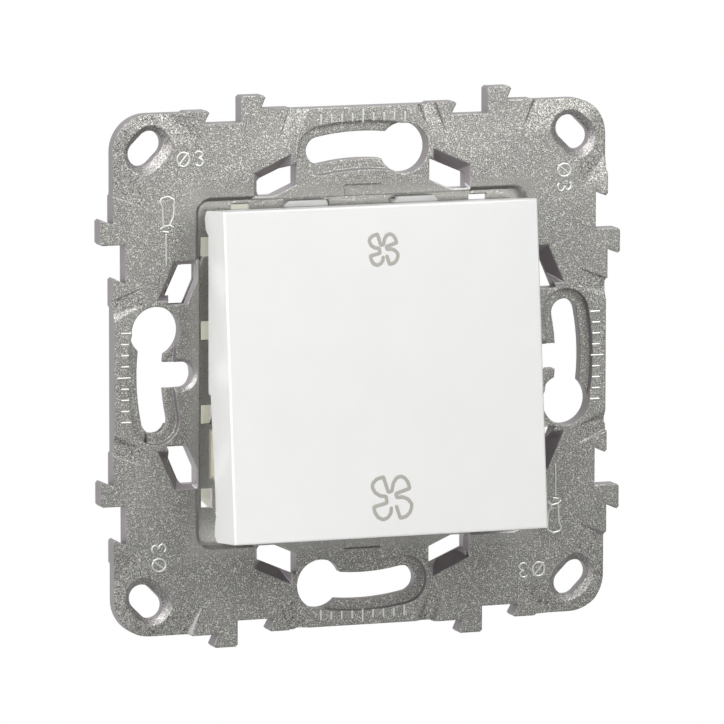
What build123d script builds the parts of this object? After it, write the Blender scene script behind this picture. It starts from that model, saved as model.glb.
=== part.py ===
from build123d import *
from math import atan2, cos, degrees, radians, sin
import os

# A two-speed fan switch: a white rocker on a snap-action mechanism, held in a die-cast zinc fixing frame.
# Millimetres. X runs to the right, Z up and Y into the wall. The origin is the centre of the frame's rear
# face. A depth called w is measured out of the wall, so that w = -Y.

# Fixing frame
plate_t = 2.4  # main thickness of the frame
edge_r = 35.2  # half the frame's width at its corners and at its keyholes
hook_edge_r = 35.4  # the same beside the dovetail hooks
corner_r = 5.0
tip_blunt = 0.3  # the corners of the hooks are blunted by this much
screw_r = 30.0  # the box screws stand on a circle of 60 mm

pair_walls = (-17.3, 17.88)  # along each side, the tall wall of each dovetail pair
notch_r = 33.65  # floor of a dovetail notch
notch_tip = -4.5  # from the pair's wall to the tip of the low hook
notch_undercut = -5.28
hook_r = 37.2  # outer face of a tall hook
hook_tip = 3.42
hook_undercut = 2.75
hook_zone_in = 0.3  # length of the small step into a hook zone
hook_zones = ((-25.3, -10.0), (9.3, 24.6))

keyhole_head_s = 6.0
keyhole_head_r = 3.4
keyhole_end_s = 4.65  # centre of the slot's narrow end, on the other side of the middle
keyhole_slot_r = 1.85  # half the slot's width
washer_recess_r = 3.3
washer_recess_depth = 0.9
washer_recess_draft = 8.0  # degrees

vent_points = ((14.85, 23.6), (14.85, 25.6), (9.5, 27.9), (9.5, 25.0), (12.7, 23.6))
vent_mouth = ((15.45, 23.6), (15.45, 26.75), (10.1, 29.2), (10.1, 24.8), (12.7, 23.6))
vent_mouth_depth = 1.8
vent_mouth_draft = 35.0  # degrees
corner_slot_place = 30.55
corner_slot_size = (5.3, 3.5)
corner_slot_bevel = 1.1
claw_slot_width = 3.5
claw_slot_z = 0.05
claw_slot_end = 24.0
claw_slot_bevel = 0.5

window_half = 23.2
window_r = 1.5
ledge_depth = 1.5  # from the frame's front down to the ledge
rim_bevel = 0.55  # bevel of the window's rim, only towards its corners
rim_bevel_start = 15.4
rim_bevel_r = 2.2
ledge_in = 20.5  # half the clear opening inside the ledge
ledge_hole = (2.6, 1.5)
ledge_hole_places = (5.67, 17.0)
ledge_hole_r = 21.8
ledge_notch_s = -11.05
ledge_notch_length = 6.7
ledge_notch_depth = 0.85
rear_rebate_half = 23.15  # a rebate behind the ledge takes the barbs of the cover's legs
rear_rebate_depth = 0.3

relief_start_r = 31.2  # from here the cast relief falls outwards
relief_drop = 0.6  # how far it has fallen at the edge
relief_end_r = 37.8  # its cutters end out here
# Each end of a relief is a facet that widens from a point at the start. Along the side: that point, then at
# the edge the facet's upper line and its foot
keyhole_facets = ((-9.6, -7.6, -8.6), (9.6, 7.6, 8.6))
keyhole_relief_far = (12.0, 10.5)  # the other end of a keyhole's relief, at the start and at the edge
corner_facets = ((-22.8, -24.4, -27.3), (22.8, 24.4, 24.9))
pointer_recess = (5.2, 1.5)
pointer_recess_depth = 0.15
overlap = 1.0  # cutters and roots reach this far past the face they start from

# Rocker
pivot_w = 5.46  # the rocker's axis, out of the wall
rest_tilt = 5.75  # at rest the top is pushed in by this many degrees
key_size = (44.7, 44.4)
key_front = 6.49  # from the pivot to the key's face
key_wall = 1.4
key_face_t = 1.6
key_end_depth = 7.2  # depth of the top and bottom walls behind the face
key_edge_r = 0.35
# Rear edge of the key's side walls, as depths behind the face: from each end inwards, and at the middle
skirt_top = ((0.9, 8.0), (2.6, 7.7), (3.4, 6.7))
skirt_middle = ((-2.4, 8.9), (-2.5, 8.0))
skirt_bottom = ((3.8, 7.4), (2.6, 8.0), (0.9, 8.4))
skirt_corner = 1.8  # the corners of the rear edge are cut back by this much
key_rib_t = 1.0
key_rib_height = 1.2
key_rib_from_end = 7.2

running_gap = 0.05  # all round a pin in its bearing
seat_gap = 0.05  # between pieces that seat on each other
side_gap = 0.25  # around the mechanism in the frame

ear_in = 15.0  # inner face of a bearing ear
ear_t = 1.8
ear_half = 3.2
trunnion_r = 1.4
cradle_plate = (36.0, 22.0)
cradle_t = 1.5
cradle_r = 1.5
cheek_t = 1.6
cheek_half = 2.6
cheek_gap = 0.2  # from a cheek to its ear
tube_r = 2.7
tube_end = 9.3  # behind the pivot
plunger_r = 1.6
plunger_gap = 0.1
plunger_start = 4.5  # behind the pivot
spring_wire_r = 0.22
spring_turns = 5

# Mechanism body
body_half = ledge_in - side_gap
body_w = 0.85  # the housing's front rim
body_depth = 26.0  # the housing's rear face, behind the wall face
body_taper_start = 9.5  # from this depth the housing narrows to the left and right
body_rear_half = 14.2
body_chamfer = 2.5
body_wall = 1.6
body_side_wall = 2.2  # left and right of the contact chamber
rear_wall = 4.0
rear_edge_bevel = 0.6
cover_half = 20.0
cover_t = 1.4
cover_r = 1.0
lip_t = 1.2
lip_depth = 2.5
tab_places = (5.1, 10.9)
tab_corner = 0.6
tab_top = 22.8
tab_t = 0.9
hook_leg = (1.7, 1.1)
barb = 0.5
barb_depth = 1.3  # end of a leg, behind the wall face
tube_slot = (6.8, 7.8)
lug_depth = 6.0

# Contacts and terminals
blade_w = -9.5  # the blade's axis
blade_front = 1.9  # from its axis to the blade's front face
blade_t = 1.0
blade_half = 12.3
blade_width = 6.0
blade_r = 1.4
fulcrum_r = 0.8
fulcrum_neck = 1.0
fulcrum_width = 5.2
fulcrum_foot = 1.8  # the common strip ends this far past the middle
saddle = (0.6, 0.8)
saddle_gap = 0.2  # from a lip of the saddle to the fulcrum
saddle_width = 5.0
contact_z = 10.5
moving_tip_r = 1.5
moving_tip_t = 0.7
fixed_tip_r = 1.6
fixed_tip_t = 0.7
fixed_tip_dome = 0.35
contact_gap = 0.15  # left between a pair of closed tips
strip_t = 0.8
strip_w = -11.2  # front face of the two contact strips
common_w = -12.9
strip_gap = 0.2  # between a strip and the edges of its seat
strip_clearance = 0.9  # from the strips to the housing's side walls
strip_bend_r = 1.0
pad_half = 2.4
rail_r = 14.8  # outer face of the contact rails, from the middle plane
rail_half = 4.6
rail_end_gap = 0.4  # from a rail's end to its cell's floor
top_terminal_x = 8.2
cell_half = 4.9
cell_in = 6.4
cell_out = 15.0
wire_r = 2.1
wire_z = 12.0
wire_pitch = 4.9
funnel = 0.3
clamp_t = 0.4
clamp_half = 4.3
clamp_gap = 0.3  # from a clamp's leg to the common strip
clamp_leg_z = 6.65
clamp_fold = 2.8  # a clamp's fold, in front of the cell's floor
clamp_tip = (1.0, 13.4)  # behind the leg's end, and from the middle plane
clamp_bend = 0.9
lever_size = (4.2, 2.4)
lever_z = 7.8
lever_gap = 0.15
lever_flange = (5.8, 2.6, 0.9)
lever_reach = 1.4  # stands out of the rear face

os.makedirs("parts", exist_ok=True)


def wall_plane(w):
    """The plane parallel to the wall at w, seen from the front: local x to the right, y up."""
    return Plane.XZ.offset(w)


def rocker_plane(d):
    """The plane parallel to the tilted key, d in front of the rocker's axis."""
    tilt = radians(rest_tilt)
    return Plane(origin=(0, -pivot_w, 0), x_dir=(1, 0, 0), z_dir=(0, -cos(tilt), sin(tilt))).offset(d)


def rocker_side(x):
    """The plane across the rocker's axis at x: local x up along the key, y out towards its face."""
    tilt = radians(rest_tilt)
    return Plane(origin=(x, -pivot_w, 0), x_dir=(0, sin(tilt), cos(tilt)), z_dir=(1, 0, 0))


def blade_plane(d):
    """The plane parallel to the tilted blade, d in front of its axis."""
    tilt = radians(rest_tilt)
    return Plane(origin=(0, -blade_w, 0), x_dir=(1, 0, 0), z_dir=(0, -cos(tilt), -sin(tilt))).offset(d)


def depth_side(x):
    """The upright plane at x that looks along X: local x into the wall, y up."""
    return Plane(origin=(x, 0, 0), x_dir=(0, 1, 0), z_dir=(1, 0, 0))


def turned(point, side):
    """A point of the top side (along, outwards), carried clockwise to another of the four sides."""
    along, out = point
    for _ in range(side):
        along, out = out, -along
    return along, out


def side_outline():
    """The top side of the frame from corner to corner, with its two dovetail pairs."""
    points = [(corner_r - edge_r, edge_r)]
    for wall, (zone_start, zone_end) in zip(pair_walls, hook_zones):
        points += [
            (zone_start, edge_r),
            (zone_start + hook_zone_in, hook_edge_r),
            (wall + notch_tip - tip_blunt, hook_edge_r),
            (wall + notch_tip, hook_edge_r - tip_blunt),
            (wall + notch_undercut, notch_r),
            (wall, notch_r),
            (wall, hook_r - tip_blunt),
            (wall + tip_blunt, hook_r),
            (wall + hook_tip - tip_blunt, hook_r),
            (wall + hook_tip, hook_r - tip_blunt),
            (wall + hook_undercut, hook_edge_r),
            (zone_end - hook_zone_in, hook_edge_r),
            (zone_end, edge_r),
        ]
    return points + [(edge_r - corner_r, edge_r)]


def circle_angle(along):
    """The angle, in degrees, of a place on the screw circle that lies this far along the top side."""
    return degrees(atan2((screw_r**2 - along**2) ** 0.5, along))


head_angle = circle_angle(keyhole_head_s)
end_angle = circle_angle(-keyhole_end_s)

with BuildPart() as fixing_frame:
    with BuildSketch(wall_plane(0)):
        with BuildLine():
            for side in range(4):
                Polyline([turned(point, side) for point in side_outline()])
                centre = turned((edge_r - corner_r, edge_r - corner_r), side)
                CenterArc(centre, corner_r, 90 - 90 * side, -90)
        make_face()
    extrude(amount=plate_t)

    # Window with its rim, ledge and clear opening
    with BuildSketch(wall_plane(plate_t)):
        RectangleRounded(2 * window_half, 2 * window_half, window_r)
    extrude(amount=-ledge_depth, mode=Mode.SUBTRACT)
    with BuildSketch(wall_plane(plate_t)):
        rim_size = 2 * (window_half + rim_bevel)
        RectangleRounded(rim_size, rim_size, rim_bevel_r)
        Rectangle(2 * rim_bevel_start, 2 * edge_r, mode=Mode.SUBTRACT)
        Rectangle(2 * edge_r, 2 * rim_bevel_start, mode=Mode.SUBTRACT)
    extrude(amount=-rim_bevel, taper=45, mode=Mode.SUBTRACT)
    with BuildSketch(wall_plane(0)):
        RectangleRounded(2 * ledge_in, 2 * ledge_in, window_r)
        for side in range(4):
            with Locations(turned((ledge_notch_s, ledge_in), side)):
                Rectangle(ledge_notch_length, 2 * ledge_notch_depth, rotation=-90 * side)
            for along in ledge_hole_places:
                with Locations(
                    turned((along, ledge_hole_r), side), turned((-along, ledge_hole_r), side)
                ):
                    Rectangle(*ledge_hole, rotation=-90 * side)
    extrude(amount=plate_t, mode=Mode.SUBTRACT)

    # Rebate behind the ledge
    with BuildSketch(wall_plane(0)):
        RectangleRounded(2 * rear_rebate_half, 2 * rear_rebate_half, window_r)
    extrude(amount=rear_rebate_depth, mode=Mode.SUBTRACT)

    # Keyholes for the box screws, each with a recess for the screw's head round its slot
    with BuildSketch(wall_plane(0)):
        for side in range(4):
            with Locations(turned((keyhole_head_s, (screw_r**2 - keyhole_head_s**2) ** 0.5), side)):
                Circle(keyhole_head_r)
            turn = -90 * side
            slot = CenterArc((0, 0), screw_r, head_angle + turn, end_angle - head_angle, mode=Mode.PRIVATE)
            SlotArc(slot, 2 * keyhole_slot_r)
    extrude(amount=plate_t, mode=Mode.SUBTRACT)
    with BuildSketch(wall_plane(plate_t)):
        for side in range(4):
            turn = -90 * side
            slot = CenterArc((0, 0), screw_r, head_angle + turn, end_angle - head_angle, mode=Mode.PRIVATE)
            SlotArc(slot, 2 * washer_recess_r)
    extrude(amount=-washer_recess_depth, taper=washer_recess_draft, mode=Mode.SUBTRACT)

    # Slots for the claws, left and right, open into the keyholes
    claw_slot_length = screw_r - claw_slot_end
    with BuildSketch(wall_plane(0)):
        for sign in (-1, 1):
            with Locations((sign * (screw_r + claw_slot_end) / 2, claw_slot_z)):
                SlotOverall(claw_slot_length, claw_slot_width)
    extrude(amount=plate_t, mode=Mode.SUBTRACT)
    with BuildSketch(wall_plane(plate_t)):
        for sign in (-1, 1):
            with Locations((sign * (screw_r + claw_slot_end) / 2, claw_slot_z)):
                SlotOverall(claw_slot_length + 2 * claw_slot_bevel, claw_slot_width + 2 * claw_slot_bevel)
    extrude(amount=-claw_slot_bevel, taper=45, mode=Mode.SUBTRACT)

    # Openings beside each keyhole, with a slanted mouth
    for base, points, depth, draft in (
        (0, vent_points, -plate_t, 0),
        (plate_t, vent_mouth, vent_mouth_depth, vent_mouth_draft),
    ):
        with BuildSketch(wall_plane(base)):
            for side in range(4):
                for sign in (-1, 1):
                    with BuildLine():
                        Polyline([turned((sign * s, r), side) for s, r in points], close=True)
                    make_face()
        extrude(amount=-depth, taper=draft, mode=Mode.SUBTRACT)

    # Slanted slots in the corners, bevelled for a countersunk head
    for side in range(4):
        with BuildSketch(wall_plane(0)):
            with Locations(turned((corner_slot_place, corner_slot_place), side)):
                SlotOverall(*corner_slot_size, rotation=-45 - 90 * side)
        extrude(amount=plate_t, mode=Mode.SUBTRACT)
        with BuildSketch(wall_plane(plate_t)):
            with Locations(turned((corner_slot_place, corner_slot_place), side)):
                SlotOverall(
                    corner_slot_size[0] + 2 * corner_slot_bevel,
                    corner_slot_size[1] + 2 * corner_slot_bevel,
                    rotation=-45 - 90 * side,
                )
        extrude(amount=-corner_slot_bevel, taper=45, mode=Mode.SUBTRACT)

    # Cast relief that falls towards the edge beside the keyholes and round the corners
    run = edge_r - relief_start_r
    reach = (relief_end_r - relief_start_r) / run
    corner_far = 2 * edge_r - relief_start_r
    for side in range(4):
        out_x, out_z = turned((0, 1), side)
        along_x, along_z = turned((1, 0), side)
        fall = atan2(relief_drop, run)
        foot = Plane(
            origin=(out_x * relief_start_r, -plate_t, out_z * relief_start_r),
            x_dir=(along_x, 0, along_z),
            z_dir=(out_x * sin(fall), -cos(fall), out_z * sin(fall)),
        )
        floor_run = run / cos(fall)
        with BuildSketch(foot):
            for start, _, foot_s in keyhole_facets:
                far_start, far_edge = (s if start > 0 else -s for s in keyhole_relief_far)
                with BuildLine():
                    Polyline(
                        [(start, 0), (start + (foot_s - start) * reach, floor_run * reach),
                         (far_start + (far_edge - far_start) * reach, floor_run * reach), (far_start, 0)],
                        close=True,
                    )
                make_face()
            for start, _, foot_s in corner_facets:
                far_s = corner_far if start > 0 else -corner_far
                with BuildLine():
                    Polyline(
                        [(start, 0), (start + (foot_s - start) * reach, floor_run * reach),
                         (far_s, floor_run * reach), (far_s, 0)],
                        close=True,
                    )
                make_face()
        extrude(amount=2 * relief_drop, mode=Mode.SUBTRACT)
        end_plane = Plane(
            origin=(out_x * relief_end_r, -plate_t, out_z * relief_end_r),
            x_dir=(along_x, 0, along_z),
            z_dir=(-out_x, 0, -out_z),
        )
        for start, level_s, foot_s in keyhole_facets + corner_facets:
            level_end = start + (level_s - start) * reach
            foot_end = start + (foot_s - start) * reach
            drop_end = relief_drop * reach
            with BuildSketch(end_plane, mode=Mode.PRIVATE) as facet_end:
                with BuildLine():
                    Polyline(
                        [(foot_end, -drop_end), (2 * level_end - foot_end, drop_end),
                         (2 * foot_end - level_end, drop_end)],
                        close=True,
                    )
                make_face()
            point = Vertex(
                along_x * start + out_x * relief_start_r, -plate_t, along_z * start + out_z * relief_start_r
            )
            loft(sections=[facet_end.face(), point], ruled=True, mode=Mode.SUBTRACT)

    # Shallow recess for the pointer at the top and bottom of the window
    with BuildSketch(wall_plane(plate_t)):
        with Locations((0, window_half + pointer_recess[1] / 2), (0, -window_half - pointer_recess[1] / 2)):
            Rectangle(*pointer_recess)
    extrude(amount=-pointer_recess_depth, mode=Mode.SUBTRACT)

# White key: a face with a skirt, ribbed behind
with BuildPart() as rocker_key:
    key_width, key_height = key_size
    half = key_height / 2
    skirt = [
        *[(half - inwards, depth) for inwards, depth in skirt_top],
        *skirt_middle,
        *[(inwards - half, depth) for inwards, depth in skirt_bottom],
    ]
    skirt_depth = max(depth for _, depth in skirt)
    with BuildSketch(rocker_plane(key_front)):
        Rectangle(key_width, key_height)
    extrude(amount=-skirt_depth)
    with BuildSketch(rocker_plane(key_front - key_face_t)):
        Rectangle(key_width - 2 * key_wall, key_height - 2 * key_wall)
    extrude(amount=-skirt_depth, mode=Mode.SUBTRACT)
    # The side walls' rear edge
    with BuildSketch(rocker_side(0)):
        with BuildLine():
            edge = [(v, key_front - depth) for v, depth in skirt]
            beyond = key_front - skirt_depth - overlap
            top_end = half + overlap
            Polyline(
                [(top_end, edge[0][1] + skirt_corner), *edge, (-top_end, edge[-1][1] + skirt_corner),
                 (-top_end, beyond), (top_end, beyond)],
                close=True,
            )
        make_face()
    extrude(amount=key_width, both=True, mode=Mode.SUBTRACT)
    # The top and bottom walls are shallower
    with BuildSketch(rocker_plane(key_front - key_end_depth)):
        Rectangle(key_width - 2 * key_wall, key_height)
    extrude(amount=-skirt_depth, mode=Mode.SUBTRACT)
    # Ribs behind the face
    with BuildSketch(rocker_plane(key_front - key_face_t)):
        with GridLocations(0, key_height - 2 * key_rib_from_end, 1, 2):
            Rectangle(key_width - 2 * key_wall, key_rib_t)
    extrude(amount=-key_rib_height)
    front_edges = rocker_key.edges().filter_by(
        lambda edge: rocker_plane(key_front).to_local_coords(edge.center()).Z > -0.01
    )
    fillet(front_edges, key_edge_r)

# Cradle that carries the key on two trunnions, with the plunger's tube behind it
key_back = key_front - key_face_t - seat_gap
with BuildPart() as rocker_cradle:
    with BuildSketch(rocker_plane(key_back)):
        RectangleRounded(*cradle_plate, cradle_r)
    extrude(amount=-cradle_t)
    for sign in (-1, 1):
        cheek_x = sign * (ear_in - cheek_gap - cheek_t / 2)
        with BuildSketch(rocker_side(cheek_x)):
            with BuildLine():
                Polyline(
                    [(-cheek_half, 0), (-cheek_half, key_back - cradle_t / 2),
                     (cheek_half, key_back - cradle_t / 2), (cheek_half, 0)]
                )
                CenterArc((0, 0), cheek_half, 180, 180)
            make_face()
        extrude(amount=cheek_t / 2, both=True)
        with BuildSketch(rocker_side(cheek_x)):
            Circle(trunnion_r)
        extrude(amount=sign * (ear_t + cheek_gap + cheek_t / 2))
    with BuildSketch(rocker_plane(-tube_end)):
        Circle(tube_r)
    extrude(amount=tube_end + key_back - cradle_t / 2)
    with BuildSketch(rocker_plane(-tube_end)):
        Circle(plunger_r + plunger_gap)
    extrude(amount=tube_end + key_back - 2 * cradle_t, mode=Mode.SUBTRACT)
bore_floor = key_back - 2 * cradle_t

tip_centre = -blade_w + pivot_w - blade_front - plunger_r - contact_gap
with BuildPart() as plunger:
    with BuildSketch(rocker_side(0)):
        with BuildLine():
            Polyline(
                [(0, -tip_centre - plunger_r), (0, -plunger_start), (plunger_r, -plunger_start),
                 (plunger_r, -tip_centre)]
            )
            CenterArc((0, -tip_centre), plunger_r, 0, -90)
        make_face()
    axis_dir = rocker_plane(0).z_dir
    revolve(axis=Axis((0, -pivot_w, 0), axis_dir))

spring_length = plunger_start + bore_floor - 2 * spring_wire_r - 2 * seat_gap
spring_start = bore_floor - spring_wire_r - seat_gap
with BuildPart() as plunger_spring:
    coil_r = plunger_r - spring_wire_r - seat_gap
    coil_base = rocker_plane(spring_start - spring_length)
    with BuildLine() as coil:
        Helix(
            pitch=spring_length / spring_turns,
            height=spring_length,
            radius=coil_r,
            center=coil_base.origin,
            direction=coil_base.z_dir,
        )
    with BuildSketch(Plane(origin=coil.line @ 0, z_dir=coil.line % 0)):
        RegularPolygon(spring_wire_r, 5)
    sweep(path=coil.line, is_frenet=True)

# White front of the mechanism: bearings for the rocker, tabs that clip it into the frame
with BuildPart() as mechanism_cover:
    cover_front = body_w + seat_gap + cover_t
    with BuildSketch(wall_plane(body_w + seat_gap)):
        RectangleRounded(2 * cover_half, 2 * cover_half, cover_r)
    extrude(amount=cover_t)
    lip_out = body_half - body_wall - seat_gap
    with BuildSketch(wall_plane(body_w + seat_gap)):
        Rectangle(2 * lip_out, 2 * lip_out)
        Rectangle(2 * (lip_out - lip_t), 2 * (lip_out - lip_t), mode=Mode.SUBTRACT)
    extrude(amount=-lip_depth)
    for sign in (-1, 1):
        ear_plane = Plane(origin=(sign * (ear_in + ear_t / 2), 0, 0), x_dir=(0, 0, 1), z_dir=(1, 0, 0))
        with BuildSketch(ear_plane):
            with BuildLine():
                Polyline(
                    [(-ear_half, pivot_w), (-ear_half, cover_front - cover_t / 2),
                     (ear_half, cover_front - cover_t / 2), (ear_half, pivot_w)]
                )
                CenterArc((0, pivot_w), ear_half, 0, 180)
            make_face()
            with Locations((0, pivot_w)):
                Circle(trunnion_r + running_gap, mode=Mode.SUBTRACT)
        extrude(amount=ear_t / 2, both=True)
    with BuildSketch(wall_plane(cover_front)):
        Rectangle(*tube_slot)
    extrude(amount=-cover_t, mode=Mode.SUBTRACT)
    tab_w = plate_t - ledge_depth + seat_gap
    tab_root = cover_half - overlap
    barb_start = seat_gap - rear_rebate_depth
    for x_sign in (-1, 1):
        for z_sign in (-1, 1):
            tab_x = x_sign * (tab_places[0] + tab_places[1]) / 2
            tab_length = tab_places[1] - tab_places[0]
            with BuildSketch(wall_plane(tab_w)):
                with Locations((tab_x, z_sign * (tab_root + tab_top) / 2)):
                    Rectangle(tab_length, tab_top - tab_root)
                outer_corner = vertices().sort_by(lambda vertex: abs(vertex.X) + abs(vertex.Y))[-1]
                chamfer(outer_corner, tab_corner)
            extrude(amount=tab_t)
            leg_x = x_sign * ledge_hole_places[0]
            with BuildSketch(wall_plane(tab_w + tab_t)):
                with Locations((leg_x, z_sign * ledge_hole_r)):
                    Rectangle(*hook_leg)
            extrude(amount=-tab_w - tab_t - barb_depth)
            leg_out = ledge_hole_r + hook_leg[1] / 2
            with BuildSketch(depth_side(leg_x)):
                with BuildLine():
                    Polyline(
                        [(barb_start, z_sign * (leg_out - barb)), (barb_start, z_sign * (leg_out + barb)),
                         (barb_depth, z_sign * leg_out), (barb_depth, z_sign * (leg_out - barb))],
                        close=True,
                    )
                make_face()
            extrude(amount=hook_leg[0] / 2, both=True)

# Rear housing: a deep box with a cell for each terminal, wire entries and lever slots in its rear wall
cell_floor = body_depth - rear_wall
lever_hole = (lever_size[0] + 2 * lever_gap, lever_size[1] + 2 * lever_gap)
terminals = {  # middle of each terminal along X, and the side of the middle plane that it lies on
    "common": (0, -1),
    "low_speed": (-top_terminal_x, 1),
    "high_speed": (top_terminal_x, 1),
}
entry_places = [
    (x + step, sign * wire_z)
    for x, sign in terminals.values()
    for step in (-wire_pitch / 2, wire_pitch / 2)
]
with BuildPart() as mechanism_housing:
    with BuildSketch(Plane.XY):
        with BuildLine():
            Polyline(
                [(-body_half, -body_w), (body_half, -body_w), (body_half, body_taper_start),
                 (body_rear_half, body_depth), (-body_rear_half, body_depth), (-body_half, body_taper_start)],
                close=True,
            )
        make_face()
    extrude(amount=body_half, both=True)
    long_edges = mechanism_housing.edges().filter_by(
        lambda edge: abs(edge.center().Z) > body_half - 0.01 and abs(edge.center().X) > body_rear_half
    )
    chamfer(long_edges, body_chamfer)
    rear_rim = mechanism_housing.faces().sort_by(Axis.Y)[-1].edges()
    chamfer(rear_rim, rear_edge_bevel)
    chamber_floor = strip_w - strip_t - seat_gap
    chamber_half = body_half - body_side_wall
    with BuildSketch(wall_plane(body_w)):
        Rectangle(2 * chamber_half, 2 * (body_half - body_wall))
        chamfer(vertices(), body_chamfer)
    extrude(amount=chamber_floor - body_w, mode=Mode.SUBTRACT)
    # The front rim is square inside, for the cover's lip
    with BuildSketch(wall_plane(body_w)):
        Rectangle(2 * (body_half - body_wall), 2 * (body_half - body_wall))
    extrude(amount=-lip_depth - 2 * seat_gap, mode=Mode.SUBTRACT)
    # A seat for the common terminal's fulcrum plate, and a cell for each terminal
    with BuildSketch(wall_plane(chamber_floor)):
        seat_end = fulcrum_foot + strip_gap
        with Locations((0, (seat_end - cell_out) / 2)):
            Rectangle(blade_width + 2 * strip_gap, cell_out + seat_end)
    extrude(amount=common_w - strip_t - seat_gap - chamber_floor, mode=Mode.SUBTRACT)
    with BuildSketch(wall_plane(chamber_floor)):
        for x, sign in terminals.values():
            with Locations((x, sign * (cell_in + cell_out) / 2)):
                Rectangle(2 * cell_half, cell_out - cell_in)
    extrude(amount=-cell_floor - chamber_floor, mode=Mode.SUBTRACT)
    # Wire entries with funnels, and slots for the release levers
    with BuildSketch(wall_plane(-body_depth)):
        with Locations(*entry_places):
            Circle(wire_r)
        for x, sign in terminals.values():
            with Locations((x, sign * lever_z)):
                Rectangle(*lever_hole)
    extrude(amount=rear_wall, mode=Mode.SUBTRACT)
    mouths = mechanism_housing.edges().filter_by(GeomType.CIRCLE).filter_by(
        lambda edge: edge.center().Y > body_depth - 0.01
    )
    chamfer(mouths, funnel)
    # Keying lug on the left, in the notch of the frame's ledge
    lug_x = (ledge_in + ledge_notch_depth - side_gap + body_half - body_wall / 2) / 2
    lug_width = ledge_in + ledge_notch_depth - side_gap - body_half + body_wall / 2
    with BuildSketch(wall_plane(plate_t - ledge_depth)):
        with Locations((-lug_x, ledge_notch_s)):
            Rectangle(lug_width, ledge_notch_length - 2 * side_gap)
    extrude(amount=-lug_depth)


def contact_rail(x, sign, front):
    """The rail of a terminal, on the outer side of its cell, which the wires are pressed against."""
    with BuildPart() as rail:
        with BuildSketch(wall_plane(front)):
            with Locations((x, sign * (rail_r - strip_t / 2))):
                Rectangle(2 * rail_half, strip_t)
        extrude(amount=-(cell_floor - rail_end_gap) - front)
    return rail.part


strip_reach = chamber_half - strip_clearance
# Brass strip of the common terminal, bent up to the fulcrum that the blade rocks on
common_rail = contact_rail(*terminals["common"], common_w)
with BuildPart() as common_terminal:
    with BuildSketch(wall_plane(common_w)):
        with Locations((0, (fulcrum_foot - rail_r) / 2)):
            Rectangle(blade_width, rail_r + fulcrum_foot)
    extrude(amount=-strip_t)
    with BuildSketch(depth_side(0)):
        with Locations((-(common_w + blade_w) / 2, 0)):
            Rectangle(blade_w - common_w, fulcrum_neck)
        with Locations((-blade_w, 0)):
            Circle(fulcrum_r)
    extrude(amount=fulcrum_width / 2, both=True)
    add(common_rail)

# Strip from the lower contact round the left side to the upper left cell
low_speed_rail = contact_rail(*terminals["low_speed"], strip_w)
with BuildPart() as low_speed_terminal:
    with BuildSketch(wall_plane(strip_w)):
        with Locations(((pad_half - strip_reach) / 2, -contact_z)):
            Rectangle(strip_reach + pad_half, 2 * pad_half)
        with Locations((-strip_reach + pad_half, 0)):
            Rectangle(2 * pad_half, 2 * (contact_z + pad_half))
        with Locations(((-strip_reach - top_terminal_x + rail_half) / 2, rail_r - pad_half)):
            Rectangle(strip_reach - top_terminal_x + rail_half, 2 * pad_half)
        fillet(vertices().group_by(Axis.X)[0], strip_bend_r)
    extrude(amount=-strip_t)
    add(low_speed_rail)

# Strip from the upper contact to the upper right cell
high_speed_rail = contact_rail(*terminals["high_speed"], strip_w)
with BuildPart() as high_speed_terminal:
    with BuildSketch(wall_plane(strip_w)):
        right_end = top_terminal_x + rail_half
        with Locations(((right_end - pad_half) / 2, contact_z)):
            Rectangle(right_end + pad_half, 2 * pad_half)
        with Locations((top_terminal_x, (contact_z + rail_r) / 2)):
            Rectangle(2 * rail_half, rail_r - contact_z)
    extrude(amount=-strip_t)
    add(high_speed_rail)


def fixed_rivet(z):
    """The domed head of a contact rivet on its strip, at the height z."""
    base = -strip_w
    shoulder = base - fixed_tip_t + fixed_tip_dome
    dome_r = (fixed_tip_r**2 + fixed_tip_dome**2) / (2 * fixed_tip_dome)
    with BuildPart() as rivet:
        with BuildSketch(depth_side(0)):
            with BuildLine():
                Polyline(
                    [(base - fixed_tip_t, z), (base, z), (base, z + fixed_tip_r), (shoulder, z + fixed_tip_r)]
                )
                RadiusArc((shoulder, z + fixed_tip_r), (base - fixed_tip_t, z), -dome_r)
            make_face()
        revolve(axis=Axis((0, 0, z), (0, 1, 0)))
    return rivet


low_fixed_contact = fixed_rivet(-contact_z)
high_fixed_contact = fixed_rivet(contact_z)

# The blade rocks on the fulcrum, tilted the other way from the key
with BuildPart() as contact_blade:
    with BuildSketch(blade_plane(blade_front)):
        RectangleRounded(blade_width, 2 * blade_half, blade_r)
    extrude(amount=-blade_t)
    saddle_t, saddle_depth = saddle
    with BuildSketch(blade_plane(blade_front - blade_t)):
        with GridLocations(0, 2 * (fulcrum_r + saddle_gap) + saddle_t, 1, 2):
            Rectangle(saddle_width, saddle_t)
    extrude(amount=-saddle_depth)


def moving_rivet(z):
    """A flat contact rivet behind the blade, at z along it."""
    with BuildPart() as rivet:
        with BuildSketch(blade_plane(blade_front - blade_t)):
            with Locations((0, z)):
                Circle(moving_tip_r)
        extrude(amount=-moving_tip_t)
    return rivet


low_moving_contact = moving_rivet(-contact_z)
high_moving_contact = moving_rivet(contact_z)


def clamp_spring(x, sign):
    """A bent leaf that presses the wires against the rail: one leg on the cell's wall, one slanting across."""
    leg_end = cell_floor + common_w - strip_t - clamp_gap
    tip_back, tip_z = clamp_tip
    clamp_path = [(leg_end, clamp_leg_z), (clamp_fold, clamp_leg_z), (leg_end - tip_back, tip_z)]
    with BuildPart() as spring:
        with BuildSketch(depth_side(x)):
            with BuildLine():
                FilletPolyline(*[(cell_floor - y, sign * z) for y, z in clamp_path], radius=clamp_bend)
            trace(line_width=clamp_t)
        extrude(amount=clamp_half, both=True)
    return spring


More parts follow.
